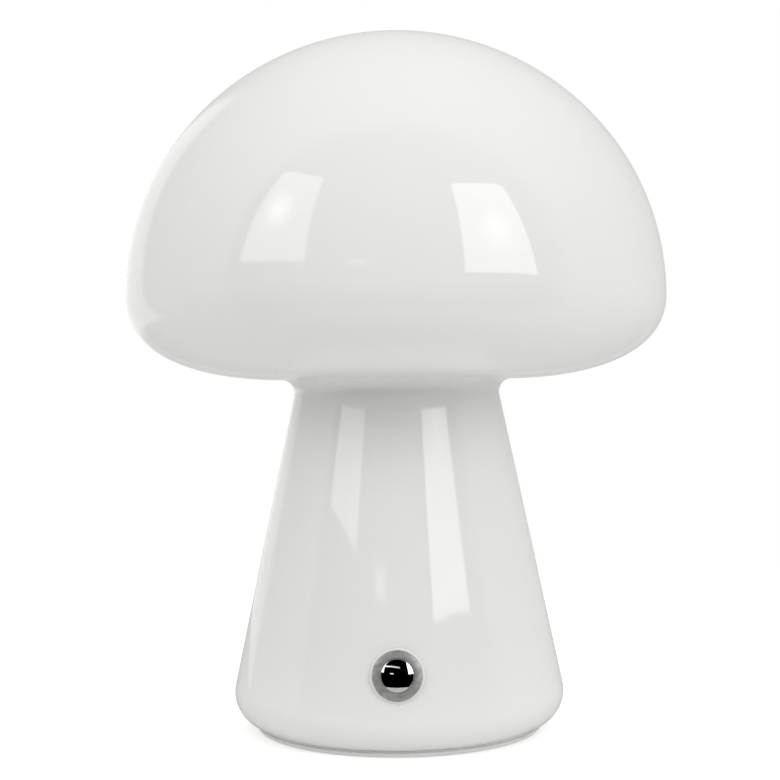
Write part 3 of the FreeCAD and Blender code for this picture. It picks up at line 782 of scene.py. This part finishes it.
def makeSoftbox(name, box):
    data = bpy.data.lights.new(name, "AREA")
    data.shape = "RECTANGLE"
    data.size, data.size_y = box["size"]
    data.energy = math.pi * data.size * data.size_y  # so that a strength of 1 shows as plain white
    shapeSoftbox(data, box)
    lamp = bpy.data.objects.new(name, data)
    lamp.visible_camera = False
    turn = Matrix.Rotation(math.radians(box["facing"]), 4, "Z") @ Matrix.Rotation(math.pi / 2, 4, "X")
    lamp.matrix_world = studioTurn @ Matrix.Translation(box["place"]) @ turn
    scene.collection.objects.link(lamp)
    if "only" in box:
        lit = bpy.data.collections.new(name)
        lit.objects.link(bpy.data.objects[box["only"]])
        lamp.light_linking.receiver_collection = lit


# The room: white to the camera, and a soft pale light for all matt surfaces, weaker level with the lamp
# and weakest ahead of it. Gloss and clear pieces see a pale backdrop, a bright card on the left, and the
# dark part of the studio in front. Each line is a pair of values of a unit direction's Y or Z, between
# which one part fades into the next. The card is where a direction lies on the inner side of three planes
# through the lamp, given by their normals.
room = {
    "fillAbove": 0.935,
    "fillAcross": 0.32,
    "fillAhead": 0.02,
    "fillBelow": 0.95,
    "aheadLine": (-0.45, -0.85),
    "aboveLine": (0.20, 0.50),
    "belowLine": (-0.15, -0.35),
    "backdrop": 0.62,
    "card": 1.05,
    "cardEdge": (1.0, 1.36, -0.72),
    "cardFoot": (-0.3, 0.0, 0.6),
    "cardEnd": (-1.0, -0.09, -0.55),
    "cardFade": 0.07,
    "dark": 0.0,
    "frontLine": (-0.25, -0.36),
    "floorLine": (-0.70, -0.55),
}


def makeRoom():
    world = bpy.data.worlds.new("room")
    scene.world = world
    world.use_nodes = True
    tree = world.node_tree
    link = tree.links.new
    direction = addNode(tree, "ShaderNodeTexCoord").outputs["Generated"]
    parts = addNode(tree, "ShaderNodeSeparateXYZ")
    link(direction, parts.inputs[0])
    sides = []
    for normal in (room["cardEdge"], room["cardFoot"], room["cardEnd"]):
        side = addNode(tree, "ShaderNodeVectorMath", operation="DOT_PRODUCT")
        side.inputs[1].default_value = normal
        link(direction, side.inputs[0])
        sides.append(addRamp(tree, side.outputs["Value"], 0.0, room["cardFade"]))
    onCard = addProduct(tree, sides)
    inFront = addProduct(tree, [
        addRamp(tree, parts.outputs["Y"], *room["frontLine"]),
        addRamp(tree, parts.outputs["Z"], *room["floorLine"]),
    ])
    shown = addBlend(tree, onCard, room["backdrop"], room["card"])
    shown = addBlend(tree, inFront, shown, room["dark"])
    ahead = addRamp(tree, parts.outputs["Y"], *room["aheadLine"])
    above = addRamp(tree, parts.outputs["Z"], *room["aboveLine"])
    below = addRamp(tree, parts.outputs["Z"], *room["belowLine"])
    fill = addBlend(tree, ahead, room["fillAcross"], room["fillAhead"])
    fill = addBlend(tree, above, fill, room["fillAbove"])
    fill = addBlend(tree, below, fill, room["fillBelow"])
    toCamera, toGloss = addRayKinds(tree)
    strength = addBlend(tree, toGloss, fill, shown)
    strength = addBlend(tree, toCamera, strength, 1.0)
    background = tree.nodes["Background"]
    background.inputs["Color"].default_value = (1, 1, 1, 1)
    link(strength, background.inputs["Strength"])


table = {
    "front": -0.137,
    "back": 0.42,
    "side": 0.42,
    "colour": 0.82,
    "mirrored": 0.58,
    "glow": 0.40,
    "bounce": 0.13,
}


# A white matt floor, a little darker where gloss mirrors it, and lit from itself so that it shows as white.
def makeTable():
    side, front, back = table["side"], table["front"], table["back"]
    points = np.array([(-side, front, 0), (side, front, 0), (side, back, 0), (-side, back, 0)])
    floor = meshObject("table", points, [(0, 1, 2, 3)], smooth=False)
    material = bpy.data.materials.new("whiteTable")
    material.use_nodes = True
    tree = material.node_tree
    link = tree.links.new
    tree.nodes.remove(tree.nodes["Principled BSDF"])
    matt = addNode(tree, "ShaderNodeBsdfDiffuse")
    glow = addNode(tree, "ShaderNodeEmission")
    toCamera, toGloss = addRayKinds(tree)
    link(addBlend(tree, toGloss, table["colour"], table["mirrored"]), matt.inputs["Color"])
    strength = addBlend(tree, toGloss, table["bounce"], 0.0)
    strength = addBlend(tree, toCamera, strength, table["glow"])
    link(strength, glow.inputs["Strength"])
    total = addNode(tree, "ShaderNodeAddShader")
    link(matt.outputs[0], total.inputs[0])
    link(glow.outputs[0], total.inputs[1])
    link(total.outputs[0], tree.nodes["Material Output"].inputs["Surface"])
    floor.data.materials.append(material)


makeCamera()
for name, box in softboxes.items():
    makeSoftbox(name, box)
makeRoom()
makeTable()
scene.view_settings.view_transform = "Standard"
print("camera, lights and table set")
